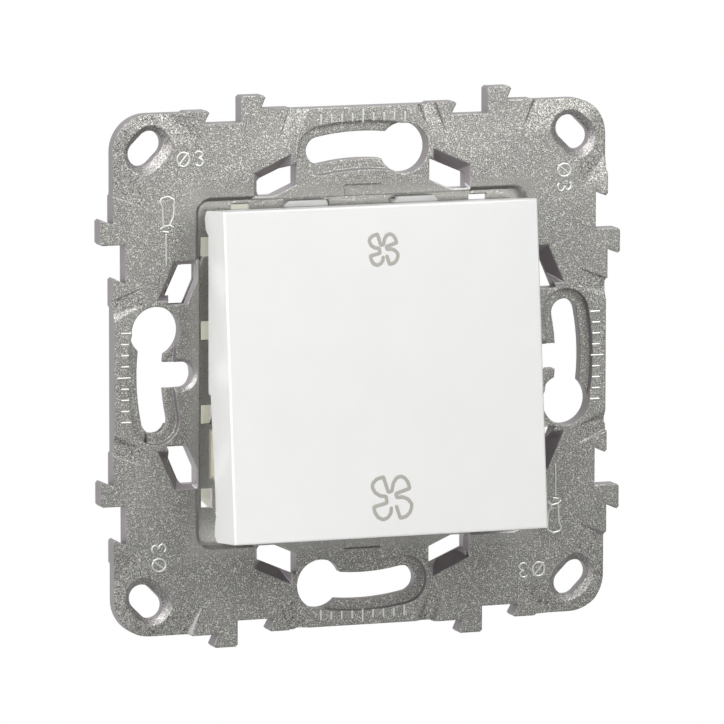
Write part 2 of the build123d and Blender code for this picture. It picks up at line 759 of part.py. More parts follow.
def release_lever(x, sign):
    """A push lever in the rear wall, with a flange inside that keeps it in."""
    flange_x, flange_z, flange_t = lever_flange
    inner = cell_floor - seat_gap
    with BuildPart() as lever:
        with BuildSketch(wall_plane(-body_depth - lever_reach)):
            with Locations((x, sign * lever_z)):
                Rectangle(*lever_size)
        extrude(amount=body_depth + lever_reach - inner)
        with BuildSketch(wall_plane(-inner)):
            with Locations((x, sign * lever_z)):
                Rectangle(flange_x, flange_z)
        extrude(amount=flange_t)
    return lever


clamp_springs = {f"{name}_clamp_spring": clamp_spring(*place) for name, place in terminals.items()}
release_levers = {f"{name}_release_lever": release_lever(*place) for name, place in terminals.items()}

pieces = {
    "fixing_frame": fixing_frame,
    "mechanism_cover": mechanism_cover,
    "mechanism_housing": mechanism_housing,
    "rocker_key": rocker_key,
    "rocker_cradle": rocker_cradle,
    "plunger": plunger,
    "plunger_spring": plunger_spring,
    "contact_blade": contact_blade,
    "low_moving_contact": low_moving_contact,
    "high_moving_contact": high_moving_contact,
    "low_fixed_contact": low_fixed_contact,
    "high_fixed_contact": high_fixed_contact,
    "common_terminal": common_terminal,
    "low_speed_terminal": low_speed_terminal,
    "high_speed_terminal": high_speed_terminal,
    **clamp_springs,
    **release_levers,
}
for name, piece in pieces.items():
    piece.part.label = name
    export_step(piece.part, f"parts/{name}.step")
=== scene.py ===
"""Looks of the fan switch: a cast zinc frame, a glossy white key with printed fans, and its mechanism."""

from math import cos, pi, radians, sin

import bmesh
import bpy
import numpy as np
from bpy.props import FloatProperty, FloatVectorProperty, PointerProperty
from bpy.types import Operator, Panel, PropertyGroup
from mathutils import Matrix, Vector


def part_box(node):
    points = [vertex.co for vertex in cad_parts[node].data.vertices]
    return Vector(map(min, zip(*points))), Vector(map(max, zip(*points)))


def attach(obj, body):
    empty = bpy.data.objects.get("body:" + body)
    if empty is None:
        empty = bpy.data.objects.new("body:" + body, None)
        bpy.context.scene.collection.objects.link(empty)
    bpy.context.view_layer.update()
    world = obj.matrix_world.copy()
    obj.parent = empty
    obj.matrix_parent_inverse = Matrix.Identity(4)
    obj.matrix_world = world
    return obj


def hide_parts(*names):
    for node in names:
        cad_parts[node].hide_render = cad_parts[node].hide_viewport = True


bl_info = {
    "name": "Fan switch",
    "version": (1, 0, 0),
    "blender": (4, 5, 0),
    "location": "3D View > Sidebar > Fan switch",
    "description": "Finishes a flush-mounted fan switch and sets it in a plain studio",
    "category": "Object",
}

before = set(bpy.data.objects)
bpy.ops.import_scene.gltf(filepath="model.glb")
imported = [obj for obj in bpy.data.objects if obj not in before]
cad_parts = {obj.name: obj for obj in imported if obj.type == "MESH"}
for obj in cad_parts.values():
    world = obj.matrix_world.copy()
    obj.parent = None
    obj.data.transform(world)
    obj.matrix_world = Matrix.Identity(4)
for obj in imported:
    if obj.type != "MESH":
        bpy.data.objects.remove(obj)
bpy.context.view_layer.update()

MM = 0.001
FRAME_BODY = "mechanism"
KEY_BODY = "rocker"
SIDES = 4  # the frame's marks and facets are repeated, turned clockwise, along its four sides

# Places on the frame, in millimetres: out from its centre, along a side, or in front of the wall
FRONT = -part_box("fixing_frame")[0].y / MM
WINDOW_HALF = 23.2
LEDGE_IN = 20.5
LEDGE_HOLE_ACROSS = (21.05, 22.55)
LEDGE_HOLE_ALONG = (4.37, 6.97)
LEDGE_STRIP_HALF = 7.6
LEDGE_BACK = 0.3
LEDGE_FRONT = 0.9
SKIN = 0.01  # how far a plate stands proud of the ledge that it closes
RELIEF_START = 31.2  # from here the cast relief falls outwards
RELIEF_EDGE = 35.2  # here it has fallen by RELIEF_DROP
RELIEF_END = 37.8  # the cutters reach to here, past the edge
RELIEF_DROP = 0.6
# Each facet of the relief widens from a point. Along the side: that point, then its top and foot at the edge
RELIEF_FACETS = (
    (-22.9, -24.4, -27.35), (-9.7, -7.6, -8.65), (9.7, 7.6, 8.65), (22.9, 24.4, 24.95),
)

# Raised marks on the frame's top side, in millimetres across and up
TICK_PITCH = 1.5
TICK_COUNT = 9
TICK_ENDS = (33.15, 34.35)
MIDDLE_TICK_ENDS = (32.95, 34.9)
LAST_TICK_ENDS = (32.85, 34.35)
HANDLE = (
    (-28.31, 19.96), (-28.47, 22.77), (-28.80, 23.40), (-28.55, 23.94), (-27.65, 24.15),
    (-26.83, 23.70), (-26.80, 23.08), (-26.90, 21.37), (-27.40, 20.35),
)
COLLAR = ((-28.80, 19.73), (-28.30, 20.15), (-27.40, 20.30), (-26.83, 19.88))
FERRULE = ((-28.47, 19.50), (-27.50, 19.33))
SHAFT = ((-27.95, 19.20), (-27.90, 14.70))
DIAMETER_CENTRE = (-25.5, 29.02)
DIAMETER_HALF = (0.86, 0.95)
DIAMETER_SLASH = ((-26.25, 28.10), (-24.75, 29.95))
THREE = (
    (-23.85, 29.75), (-23.50, 30.05), (-23.00, 29.95), (-22.75, 29.55), (-23.00, 29.20), (-23.35, 29.10),
    (-22.90, 28.95), (-22.65, 28.60), (-22.85, 28.20), (-23.30, 28.05), (-23.80, 28.30),
)
RING_TURN = 2.05 * pi  # the ring of the diameter sign runs on a little past its start
RING_POINTS = 40
LINE_SIDES = 10  # the section of a raised line is a ring of this many points

# One line of the fan symbol, from foot to foot round its four blades, in millimetres about its centre
FAN_LINE = (
    (0.58, -0.95), (1.13, -2.75), (1.98, -2.57), (2.50, -2.10), (2.80, -1.40), (2.80, -0.88), (2.30, -0.26),
    (1.60, 0.04), (0.75, 0.03), (0.60, 0.55), (2.63, 1.16), (2.40, 2.00), (1.95, 2.60), (1.35, 2.85),
    (0.75, 2.63), (0.30, 1.98), (0.05, 0.88), (-0.45, 0.82), (-0.55, 1.10), (-1.07, 2.88), (-2.00, 2.64),
    (-2.57, 2.14), (-2.72, 1.58), (-2.32, 0.82), (-1.60, 0.36), (-0.80, 0.26), (-0.68, -0.62),
    (-2.57, -1.06), (-2.45, -1.82), (-2.02, -2.50), (-1.32, -2.85), (-0.62, -2.60), (-0.17, -2.00),
    (-0.07, -1.12),
)

# How a CAD node's loose triangles become one solid with round edges
MERGE = 1e-6  # metres
FLAT_ANGLE = radians(0.5)  # faces that turn by less become one
SHARP_ANGLE = radians(25)  # edges that turn by more are sharp
ROUND_SEGMENTS = 2

# Sizes of the patterns in the finishes, and depths of their relief, in metres
ZINC_PATCH = 0.006
ZINC_DEPTH = 0.00005
FLOW = 0.009
PEEL = 0.0007
ROLLED_LINE = 0.0001
ROLLED_DEPTH = 0.000003
MOTTLE = 0.002
INK_COVER = 0.0004
NOISE_MEAN = 0.5
BEVEL_SAMPLES = 8
# How squarely the casting's surface faces the front or rear: a wall below the first, a face above the second
WALL_TO_FACE = (0.55, 0.8)
GLINT = (0.72, 1.0)  # each flake has a number from 0 to 1, and those above the first glint more and more
RIM = (0.2, 2.8)  # millimetres outside the window, between which the grain grows to its full strength
PAINTED_LEDGE_LIGHT_BLEND = 0.1  # millimetres either side of the window's edge, over which the painted light on the ledge fades in

# The stage, in metres and watts
PICTURE = 724  # the picture's side in pixels
SHIFT = (-0.83, 4.52)  # the camera's shift in pixels
SENSOR = 36.0  # the width of the camera's sensor in millimetres
NEAREST = 0.05
FLOOR_RINGS = (0.5, 1.0, 2.0, 4.0, 8.0)
FLOOR_SIDES = 64
FLOOR_COLOUR = (0.9, 0.9, 0.9)
FLOOR_WHITE = 0.6  # share of pure white in the floor as it is seen near the switch
FLOOR_FADE = (0.16, 0.34)  # from the first to the second distance that share grows to 1
SKY_LIGHT = 0.42  # strength at which the surround lights dull surfaces
WHITE = (1.0, 1.0, 1.0)
# Each lamp's place, width and height, power, and whether gloss and dull surfaces show it. All face the switch
LAMPS = {
    "overhead": ((-0.45, -0.4, 0.75), (0.7, 0.5), 4.0, False, True),
    "front_left": ((-0.84, -0.645, 0.28), (0.6, 0.6), 5.1, True, True),
    "sheen": ((-0.45, -0.4, 0.75), (0.5, 0.5), 14.0, True, False),
    "gleam": ((0.08, -0.14, 0.12), (0.1, 0.1), 0.38, True, False),
}


class FrameSettings(PropertyGroup):
    """The cast frame's finish and its raised marks."""

    edge_round: FloatProperty(
        name="Edge round", description="Radius of the casting's edges", default=0.0003, unit="LENGTH"
    )
    grain: FloatProperty(
        name="Grain", description="Size of the casting's grain", default=0.00015, unit="LENGTH"
    )
    zinc: FloatVectorProperty(
        name="Zinc", description="Colour of the cast face", default=(0.205, 0.203, 0.19), subtype="COLOR"
    )
    wall: FloatVectorProperty(
        name="Walls", description="Colour of the smooth walls", default=(0.29, 0.268, 0.281),
        subtype="COLOR",
    )
    mark_half_width: FloatProperty(
        name="Mark width", description="Half the width of a raised mark", default=0.00014, unit="LENGTH"
    )
    mark_height: FloatProperty(
        name="Mark height", description="Height of a raised mark", default=0.00012, unit="LENGTH"
    )


class KeySettings(PropertyGroup):
    """The white key and the fans printed on it."""

    plastic: FloatVectorProperty(
        name="Plastic", description="Colour of the key", default=(0.86, 0.86, 0.85), subtype="COLOR"
    )
    print_colour: FloatVectorProperty(
        name="Print", description="Colour of the printed fans", default=(0.43, 0.415, 0.375),
        subtype="COLOR",
    )
    edge_round: FloatProperty(
        name="Edge round", description="Radius of the key's edges", default=0.00015, unit="LENGTH"
    )
    face: FloatProperty(
        name="Face", description="From the rocker's axis to the key's face", default=0.00649, unit="LENGTH"
    )
    pivot: FloatProperty(
        name="Pivot", description="From the wall to the rocker's axis", default=0.00546, unit="LENGTH"
    )
    tilt: FloatProperty(
        name="Tilt", description="The key's tilt at rest", default=radians(5.75), unit="ROTATION"
    )
    line_half_width: FloatProperty(
        name="Line width", description="Half the width of a printed line", default=0.00025, unit="LENGTH"
    )
    ink: FloatProperty(name="Ink", description="Thickness of the print", default=0.00001, unit="LENGTH")
    low_scale: FloatProperty(name="Low fan", description="Size of the small fan", default=0.725)
    low_place: FloatProperty(
        name="Low place", description="Small fan's centre above the axis", default=0.01623, unit="LENGTH"
    )
    high_place: FloatProperty(
        name="High place", description="Large fan's centre above the axis", default=-0.017, unit="LENGTH"
    )


class MouldingSettings(PropertyGroup):
    """The mechanism's plastic mouldings."""

    white: FloatVectorProperty(
        name="White", description="Colour of the cover, cradle and plunger", default=(0.84, 0.84, 0.83),
        subtype="COLOR",
    )
    natural: FloatVectorProperty(
        name="Natural", description="Colour of the housing", default=(0.74, 0.73, 0.56), subtype="COLOR"
    )
    dark: FloatVectorProperty(
        name="Dark", description="Colour of the release levers", default=(0.2, 0.21, 0.22), subtype="COLOR"
    )
    cover_round: FloatProperty(
        name="Cover round", description="Radius of the cover's edges", default=0.00015, unit="LENGTH"
    )
    housing_round: FloatProperty(
        name="Housing round", description="Radius of the housing's edges", default=0.0002, unit="LENGTH"
    )


class ContactSettings(PropertyGroup):
    """The mechanism's metal pieces."""

    brass: FloatVectorProperty(
        name="Brass", description="Colour of the terminals", default=(0.78, 0.6, 0.28), subtype="COLOR"
    )
    copper: FloatVectorProperty(
        name="Copper", description="Colour of the contact blade", default=(0.78, 0.45, 0.28),
        subtype="COLOR",
    )
    steel: FloatVectorProperty(
        name="Steel", description="Colour of the springs", default=(0.58, 0.58, 0.57), subtype="COLOR"
    )
    silver: FloatVectorProperty(
        name="Silver", description="Colour of the contact rivets", default=(0.82, 0.82, 0.8),
        subtype="COLOR",
    )


class StageSettings(PropertyGroup):
    """The camera and the floor."""

    azimuth: FloatProperty(
        name="Azimuth", description="Camera's turn about the switch", default=radians(-20.17),
        unit="ROTATION",
    )
    elevation: FloatProperty(
        name="Elevation", description="Camera's height angle", default=radians(7.95), unit="ROTATION"
    )
    roll: FloatProperty(name="Roll", description="Camera's roll", default=0.0011, unit="ROTATION")
    distance: FloatProperty(
        name="Distance", description="From the camera to the frame's front", default=1.14115, unit="LENGTH"
    )
    lens: FloatProperty(name="Lens", description="Focal length in millimetres", default=421.46)
    floor_drop: FloatProperty(
        name="Floor", description="Floor's depth below the frame's centre", default=0.12, unit="LENGTH"
    )


class Wire:
    """A shader node's output. Python's operators on it add Math nodes."""

    def __init__(self, finish, socket):
        self.finish = finish
        self.socket = socket

    def __add__(self, other):
        return self.finish.maths("ADD", self, other)

    def __sub__(self, other):
        return self.finish.maths("SUBTRACT", self, other)

    def __rsub__(self, other):
        return self.finish.maths("SUBTRACT", other, self)

    def __mul__(self, other):
        return self.finish.maths("MULTIPLY", self, other)

    def __abs__(self):
        return self.finish.maths("ABSOLUTE", self)

    def above(self, other):
        """The larger of the two."""
        return self.finish.maths("MAXIMUM", self, other)

    def step(self, low, high):
        """0 below low and 1 above high, with a smooth rise between them."""
        return self.finish.node(
            "ShaderNodeMapRange",
            {"interpolation_type": "SMOOTHSTEP"},
            {"Value": self, "From Min": low, "From Max": high, "To Min": 0.0, "To Max": 1.0},
        )

    __radd__ = __add__
    __rmul__ = __mul__


class Finish:
    """A material, or the world, whose nodes are added by expressions."""

    def __init__(self, name, kind="materials"):
        self.owner = getattr(bpy.data, kind).new(name)
        self.owner.use_nodes = True
        self.tree = self.owner.node_tree
        self.tree.nodes.clear()

    def node(self, kind, settings=None, sockets=None, out=0):
        """Adds a node: its settings first, then its sockets' values or links. Returns the output named."""
        node = self.tree.nodes.new(kind)
        for key, value in (settings or {}).items():
            setattr(node, key, value)
        for key, value in (sockets or {}).items():
            socket = pick(node.inputs, key)
            if isinstance(value, Wire):
                self.tree.links.new(value.socket, socket)
            elif socket.type == "RGBA" and len(value) == 3:
                socket.default_value = (*value, 1)
            else:
                socket.default_value = value
        return Wire(self, pick(node.outputs, out)) if node.outputs else None

    def maths(self, operation, first, second=0.0):
        """The result of a Math node."""
        return self.node("ShaderNodeMath", {"operation": operation}, {0: first, 1: second})

    def mix(self, share, first, second):
        """The first colour where share is 0, and the second where it is 1."""
        return self.node(
            "ShaderNodeMix",
            {"data_type": "RGBA"},
            {"Factor_Float": share, "A_Color": first, "B_Color": second},
            "Result_Color",
        )

    def shade(self, colour, share):
        """A colour times a number that changes over the surface."""
        return self.node("ShaderNodeVectorMath", {"operation": "SCALE"}, {0: colour, "Scale": share})

    def place(self):
        """The point on the surface, in metres."""
        return self.node("ShaderNodeTexCoord", out="Object")

    def parts(self, vector):
        """The three parts of a vector, as wires."""
        split = self.node("ShaderNodeSeparateXYZ", sockets={"Vector": vector})
        return [Wire(self, socket) for socket in split.socket.node.outputs]

    def noise(self, size, detail=2.0, place=None, rough=0.55):
        """Noise from 0 to 1 with lumps of that size in metres."""
        sockets = {"Vector": place or self.place(), "Scale": 1 / size, "Detail": detail, "Roughness": rough}
        return self.node("ShaderNodeTexNoise", sockets=sockets, out="Fac")

    def relief(self, height, depth, edge=0.0):
        """A normal from a height field of that depth, over edges that shade as if round to that radius."""
        sockets = {"Height": height, "Distance": depth, "Strength": 1.0}
        if edge:
            sockets["Normal"] = self.node("ShaderNodeBevel", {"samples": BEVEL_SAMPLES}, {"Radius": edge})
        return self.node("ShaderNodeBump", sockets=sockets, out="Normal")

    def ray(self, kind):
        """1 for rays of that kind, and 0 for the others."""
        return self.node("ShaderNodeLightPath", out=f"Is {kind} Ray")

    def principled(self, **sockets):
        """Ends the material in a Principled shader. An underscore in a name stands for a space."""
        named = {key.replace("_", " "): value for key, value in sockets.items()}
        return self.close(self.node("ShaderNodeBsdfPrincipled", sockets=named))

    def close(self, shader, output="ShaderNodeOutputMaterial"):
        """Ends the nodes in that output. Returns the material or the world."""
        self.node(output, sockets={"Surface": shader})
        return self.owner


def pick(sockets, key):
    """A socket by its place, its identifier or its name."""
    if isinstance(key, int):
        return sockets[key]
    return next(s for s in sockets if key in (s.identifier, s.name))


def dress(material, *nodes):
    """Gives CAD nodes that material."""
    for name in nodes:
        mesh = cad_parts[name].data
        mesh.materials.clear()
        mesh.materials.append(material)


def add_piece(name, mesh, material, body):
    """Links a finished mesh as a piece that rides on a CAD body."""
    mesh.materials.clear()
    mesh.materials.append(material)
    piece = bpy.data.objects.new(name, mesh)
    bpy.context.scene.collection.objects.link(piece)
    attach(piece, body)
    return piece


def outward_mesh(name, points, faces):
    """A mesh of closed shapes, from an array of points in metres, with its faces turned outwards."""
    mesh = bpy.data.meshes.new(name)
    mesh.from_pydata(points.tolist(), [], faces)
    shell = bmesh.new()
    shell.from_mesh(mesh)
    bmesh.ops.recalc_face_normals(shell, faces=shell.faces)
    shell.to_mesh(mesh)
    shell.free()
    return mesh


def turned(points, quarter):
    """Points turned clockwise by quarter turns about the frame's centre."""
    points = np.array(points, float)
    for _ in range(quarter):
        points = np.stack([points[:, 1], -points[:, 0]], axis=1)
    return points


def facet_cutters():
    """Pyramids that cut the facets of the relief, four on each side of the frame. One pyramid's corners are
    (s0, 0, r0), (foot, -d, r1), (2 top - foot, d, r1) and (2 foot - top, d, r1), as places along the side,
    in front of the frame and out from its centre, so the face through the first three is the facet."""
    reach = (RELIEF_END - RELIEF_START) / (RELIEF_EDGE - RELIEF_START)
    start, top, foot = np.array(RELIEF_FACETS).T
    top, foot = start + (top - start) * reach, start + (foot - start) * reach
    along = np.stack([start, foot, 2 * top - foot, 2 * foot - top], axis=1)
    out = np.broadcast_to((RELIEF_START, RELIEF_END, RELIEF_END, RELIEF_END), along.shape)
    ahead = FRONT + RELIEF_DROP * reach * np.broadcast_to((0.0, -1.0, 1.0, 1.0), along.shape)
    one_side = np.stack([along, out], axis=-1).reshape(-1, 2)
    flat = np.concatenate([turned(one_side, side) for side in range(SIDES)])
    points = np.stack([flat[:, 0], -np.tile(ahead.ravel(), SIDES), flat[:, 1]], axis=1) * MM
    pyramid = np.array(((0, 1, 2), (0, 2, 3), (0, 3, 1), (1, 3, 2)))
    tips = np.arange(0, len(points), along.shape[1])
    faces = (tips[:, None, None] + pyramid).reshape(-1, 3)
    return outward_mesh("facet_cutters", points, faces.tolist())


def cut_away(mesh, cutters):
    """What is left of a closed mesh when closed cutters are taken from it."""
    whole, cutter = bpy.data.objects.new("whole", mesh), bpy.data.objects.new("cutter", cutters)
    for thing in (whole, cutter):
        bpy.context.scene.collection.objects.link(thing)
    cut = whole.modifiers.new("cut", "BOOLEAN")
    cut.operation = "DIFFERENCE"
    cut.solver = "EXACT"
    cut.object = cutter
    rest = bpy.data.meshes.new_from_object(whole.evaluated_get(bpy.context.evaluated_depsgraph_get()))
    for thing in (whole, cutter):
        bpy.data.objects.remove(thing)
    return rest


def rounded_copy(node, name, radius, material, body, cutters=None):
    """A CAD node's solid with its triangles merged, its flats joined and its sharp edges rounded, or left
    sharp where the radius is 0. Cutters are closed shapes that are taken from it first."""
    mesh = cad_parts[node].data.copy()
    if "custom_normal" in mesh.attributes:
        mesh.attributes.remove(mesh.attributes["custom_normal"])
    shell = bmesh.new()
    shell.from_mesh(mesh)
    bmesh.ops.remove_doubles(shell, verts=shell.verts, dist=MERGE)
    bmesh.ops.dissolve_limit(shell, angle_limit=FLAT_ANGLE, verts=shell.verts, edges=shell.edges)
    if cutters:
        shell.to_mesh(mesh)
        mesh = cut_away(mesh, cutters)
        shell.clear()
        shell.from_mesh(mesh)
        bmesh.ops.remove_doubles(shell, verts=shell.verts, dist=MERGE)
    shell.to_mesh(mesh)
    shell.free()
    mesh.name = name
    mesh.shade_smooth()
    piece = add_piece(name, mesh, material, body)
    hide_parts(node)
    if not radius:
        mesh.set_sharp_from_angle(angle=SHARP_ANGLE)
        return
    bevel = piece.modifiers.new("round", "BEVEL")
    bevel.width = radius
    bevel.segments = ROUND_SEGMENTS
    bevel.limit_method = "ANGLE"
    bevel.angle_limit = SHARP_ANGLE
    bevel.harden_normals = True
    bevel.use_clamp_overlap = True


def rounded_line(points, turn=0.12, step=0.04):
    """The points of a run of straight lines at an even step, each the mean of those within turn of it, so
    that the corners become short bends. All in millimetres."""
    points = np.array(points, float)
    lengths = np.concatenate([[0.0], np.cumsum(np.linalg.norm(np.diff(points, axis=0), axis=1))])
    along = np.linspace(0.0, lengths[-1], int(np.ceil(lengths[-1] / step)) + 1)
    even = np.stack([np.interp(along, lengths, column) for column in points.T], axis=1)
    reach = int(round(turn / step))
    longer = np.pad(even, ((reach, reach), (0, 0)), mode="reflect", reflect_type="odd")
    window = np.ones(2 * reach + 1) / (2 * reach + 1)
    return np.stack([np.convolve(column, window, mode="valid") for column in longer.T], axis=1)


def raised_lines(name, lines, half_width, height, sheet):
    """A mesh of raised lines, each an ellipse carried along its path C on a sheet and drawn in at both ends:
    P(t, a) = C(t) + w(t) cos(a) N(t) + h(t) sin(a) K. N lies across the path in the sheet, K stands on it,
    and w and h fall like a quarter circle over the last half width. The lower half is sunk in the sheet."""
    origin, across, up, out = (np.array(v, float) for v in sheet)
    around = np.linspace(0.0, 2.0 * pi, LINE_SIDES, endpoint=False)
    vertices, faces, base = [], [], 0
    for line in lines:
        path = np.array(line) * MM
        ahead = np.gradient(path, axis=0)
        ahead /= np.linalg.norm(ahead, axis=1)[:, None]
        aside = np.stack([-ahead[:, 1], ahead[:, 0]], axis=1)
        run = np.concatenate([[0.0], np.cumsum(np.linalg.norm(np.diff(path, axis=0), axis=1))])
        from_end = np.minimum(run, run[-1] - run).clip(0.0, half_width) / half_width
        fall = np.sqrt(np.clip(1.0 - (1.0 - from_end) ** 2, 0.0, 1.0))[1:-1]
        swing = fall[:, None] * half_width * np.cos(around)
        flat = path[1:-1, None, :] + swing[..., None] * aside[1:-1, None, :]
        lift = fall[:, None] * height * np.sin(around)
        rings = origin + flat[..., :1] * across + flat[..., 1:] * up + lift[..., None] * out
        ends = origin + path[[0, -1], :1] * across + path[[0, -1], 1:] * up
        count = len(rings) * LINE_SIDES
        index = base + np.arange(count).reshape(-1, LINE_SIDES)
        following = np.roll(index, -1, axis=1)
        quads = np.stack([index[:-1], following[:-1], following[1:], index[1:]], axis=-1).reshape(-1, 4)
        tip = np.full(LINE_SIDES, base + count)
        faces += quads.tolist()
        faces += np.stack([tip, following[0], index[0]], axis=1).tolist()
        faces += np.stack([tip + 1, index[-1], following[-1]], axis=1).tolist()
        vertices += [rings.reshape(-1, 3), ends]
        base += count + len(ends)
    mesh = outward_mesh(name, np.concatenate(vertices), faces)
    mesh.shade_smooth()
    return mesh


def ledge_strips(name):
    """Two closed plates on the ledge, left and right of the window, made of the cells of a grid. A corner is
    P(s, k, i, j) = (s x_i, -y_k, z_j): s is the side, y_k the plate's front and back, and x and z run over
    its edges and those of its holes. The holes' cells are left out, and a wall closes each cell that has
    none beside it."""
    across = np.array((LEDGE_IN, *LEDGE_HOLE_ACROSS, WINDOW_HALF))
    half = np.array((*LEDGE_HOLE_ALONG, LEDGE_STRIP_HALF))
    along = np.concatenate([-half[::-1], half])
    depths = np.array((LEDGE_FRONT + SKIN, LEDGE_BACK - SKIN))
    s, y, x, z = np.meshgrid((-1, 1), depths, across, along, indexing="ij")
    points = np.stack([s * x, -y, z], axis=-1).reshape(-1, 3) * MM
    index = np.arange(len(points)).reshape(s.shape)
    # The grid's cells inside an empty border: three across and five along, of which two are holes
    full = np.zeros((len(across) + 1, len(along) + 1), bool)
    full[1:-1, 1:-1] = True
    full[2, [2, 4]] = False
    i, j = np.nonzero(full)
    corners = ((i - 1, j - 1), (i, j - 1), (i, j), (i - 1, j))
    plates = np.stack([index[:, :, a, b] for a, b in corners], axis=-1)
    front, back = index[:, 0], index[:, 1]
    i, j = np.nonzero(full[:-1, 1:-1] != full[1:, 1:-1])
    uprights = np.stack([front[:, i, j], front[:, i, j + 1], back[:, i, j + 1], back[:, i, j]], axis=-1)
    i, j = np.nonzero(full[1:-1, :-1] != full[1:-1, 1:])
    levels = np.stack([front[:, i, j], front[:, i + 1, j], back[:, i + 1, j], back[:, i, j]], axis=-1)
    quads = np.concatenate([part.reshape(-1, 4) for part in (plates, uprights, levels)])
    return outward_mesh(name, points, quads.tolist())


def cast_zinc(settings):
    """Zinc as it comes from the mould: a bright grain on the faces, calmer round the window, and smooth walls
    between the faces. Inside the window the ledge is lighter by painted light, standing in for the light the
    rim keeps off it."""
    zinc = Finish("cast_zinc")
    place = zinc.place()
    x, _, z = zinc.parts(place)
    facing = zinc.parts(zinc.node("ShaderNodeTexCoord", out="Normal"))[1]
    face = abs(facing).step(*WALL_TO_FACE)
    window = abs(x).above(abs(z))
    away = window.step((WINDOW_HALF + RIM[0]) * MM, (WINDOW_HALF + RIM[1]) * MM)
    grain = zinc.noise(settings.grain, place=place, rough=0.6)
    fine = zinc.noise(settings.grain * 0.5, 1.0, place)
    flake = zinc.node(
        "ShaderNodeTexVoronoi",
        {"feature": "F1"},
        {"Vector": place, "Scale": 1 / settings.grain, "Randomness": 1.0},
        "Color",
    )
    glint = zinc.parts(flake)[0].step(*GLINT)
    patch = zinc.noise(ZINC_PATCH, place=place)
    # Each factor below says how much its pattern changes the tone, the roughness or the height
    speckle = (grain - NOISE_MEAN) * 4.4 + (fine - NOISE_MEAN) * 2.6 + glint * 1.2
    # Painted light: inside the window's edge the ledge gets a lighter tone, standing in for the light that
    # the window's rim shades off it
    ledge = 1 - window.step((WINDOW_HALF - PAINTED_LEDGE_LIGHT_BLEND) * MM, (WINDOW_HALF + PAINTED_LEDGE_LIGHT_BLEND) * MM)
    tone = 1.2 + 0.9 * ledge - 0.25 * away + speckle * face * (0.35 + 0.65 * away)
    tone += (patch - NOISE_MEAN) * 0.3
    colour = zinc.mix(face, tuple(settings.wall), tuple(settings.zinc))
    rough = 0.4 + 0.06 * away - glint * face * 0.16 + (grain - NOISE_MEAN) * 0.2
    bumps = (grain + fine * 0.4) * face * (0.3 + 0.7 * away) + patch * 0.4
    return zinc.principled(
        Base_Color=zinc.shade(colour, tone),
        Metallic=0.75,
        Roughness=rough,
        Normal=zinc.relief(bumps, ZINC_DEPTH, settings.edge_round),
    )


def moulded(name, colour, roughness, coat=0.0, wave=0.000004):
    """Moulded plastic: an even colour with a faint flow pattern and a very fine orange-peel surface."""
    mould = Finish(name)
    flow = mould.noise(FLOW)
    peel = mould.noise(PEEL)
    return mould.principled(
        Base_Color=mould.shade(tuple(colour), 0.985 + (flow - NOISE_MEAN) * 0.05),
        Roughness=roughness + (peel - NOISE_MEAN) * 0.06,
        Coat_Weight=coat,
        Coat_Roughness=0.08,
        Normal=mould.relief(peel, wave),
    )


def rolled(name, colour, roughness):
    """Rolled strip metal: fine lines along its length and a slightly mottled tone."""
    strip = Finish(name)
    stretched = strip.node("ShaderNodeMapping", sockets={"Vector": strip.place(), "Scale": (0.08, 1.0, 0.08)})
    lines = strip.noise(ROLLED_LINE, place=stretched)
    mottle = strip.noise(MOTTLE, 3.0)
    return strip.principled(
        Base_Color=strip.shade(tuple(colour), 0.85 + lines * 0.15 + (mottle - NOISE_MEAN) * 0.3),
        Metallic=1.0,
        Roughness=roughness + (mottle - NOISE_MEAN) * 0.15,
        Normal=strip.relief(lines, ROLLED_DEPTH),
    )


def print_ink(colour):
    """Pad-printed ink, slightly uneven in cover."""
    ink = Finish("print_ink")
    cover = ink.noise(INK_COVER)
    return ink.principled(
        Base_Color=ink.shade(tuple(colour), 0.97 + (cover - NOISE_MEAN) * 0.12), Roughness=0.42
    )


def front_sheet():
    """The frame's front as a sheet for raised lines: origin, across, up and out."""
    return (0.0, -FRONT * MM, 0.0), (1.0, 0.0, 0.0), (0.0, 0.0, 1.0), (0.0, -1.0, 0.0)


def key_sheet(settings):
    """The key's tilted face as a sheet: origin on its middle line, across, up and out."""
    up = np.array((0.0, sin(settings.tilt), cos(settings.tilt)))
    out = np.array((0.0, -cos(settings.tilt), sin(settings.tilt)))
    return np.array((0.0, -settings.pivot, 0.0)) + out * settings.face, (1.0, 0.0, 0.0), up, out


class FANSWITCH_OT_frame(Operator):
    """Cast zinc fixing frame with the facets of its relief, and the plates on its ledge"""

    bl_idname = "fan_switch.frame"
    bl_label = "Cast frame"

    def execute(self, context):
        zinc = cast_zinc(context.scene.fan_switch_frame)
        rounded_copy("fixing_frame", "cast_frame", 0.0, zinc, FRAME_BODY, facet_cutters())
        add_piece("ledge_strips", ledge_strips("ledge_strips"), zinc, FRAME_BODY)
        return {"FINISHED"}


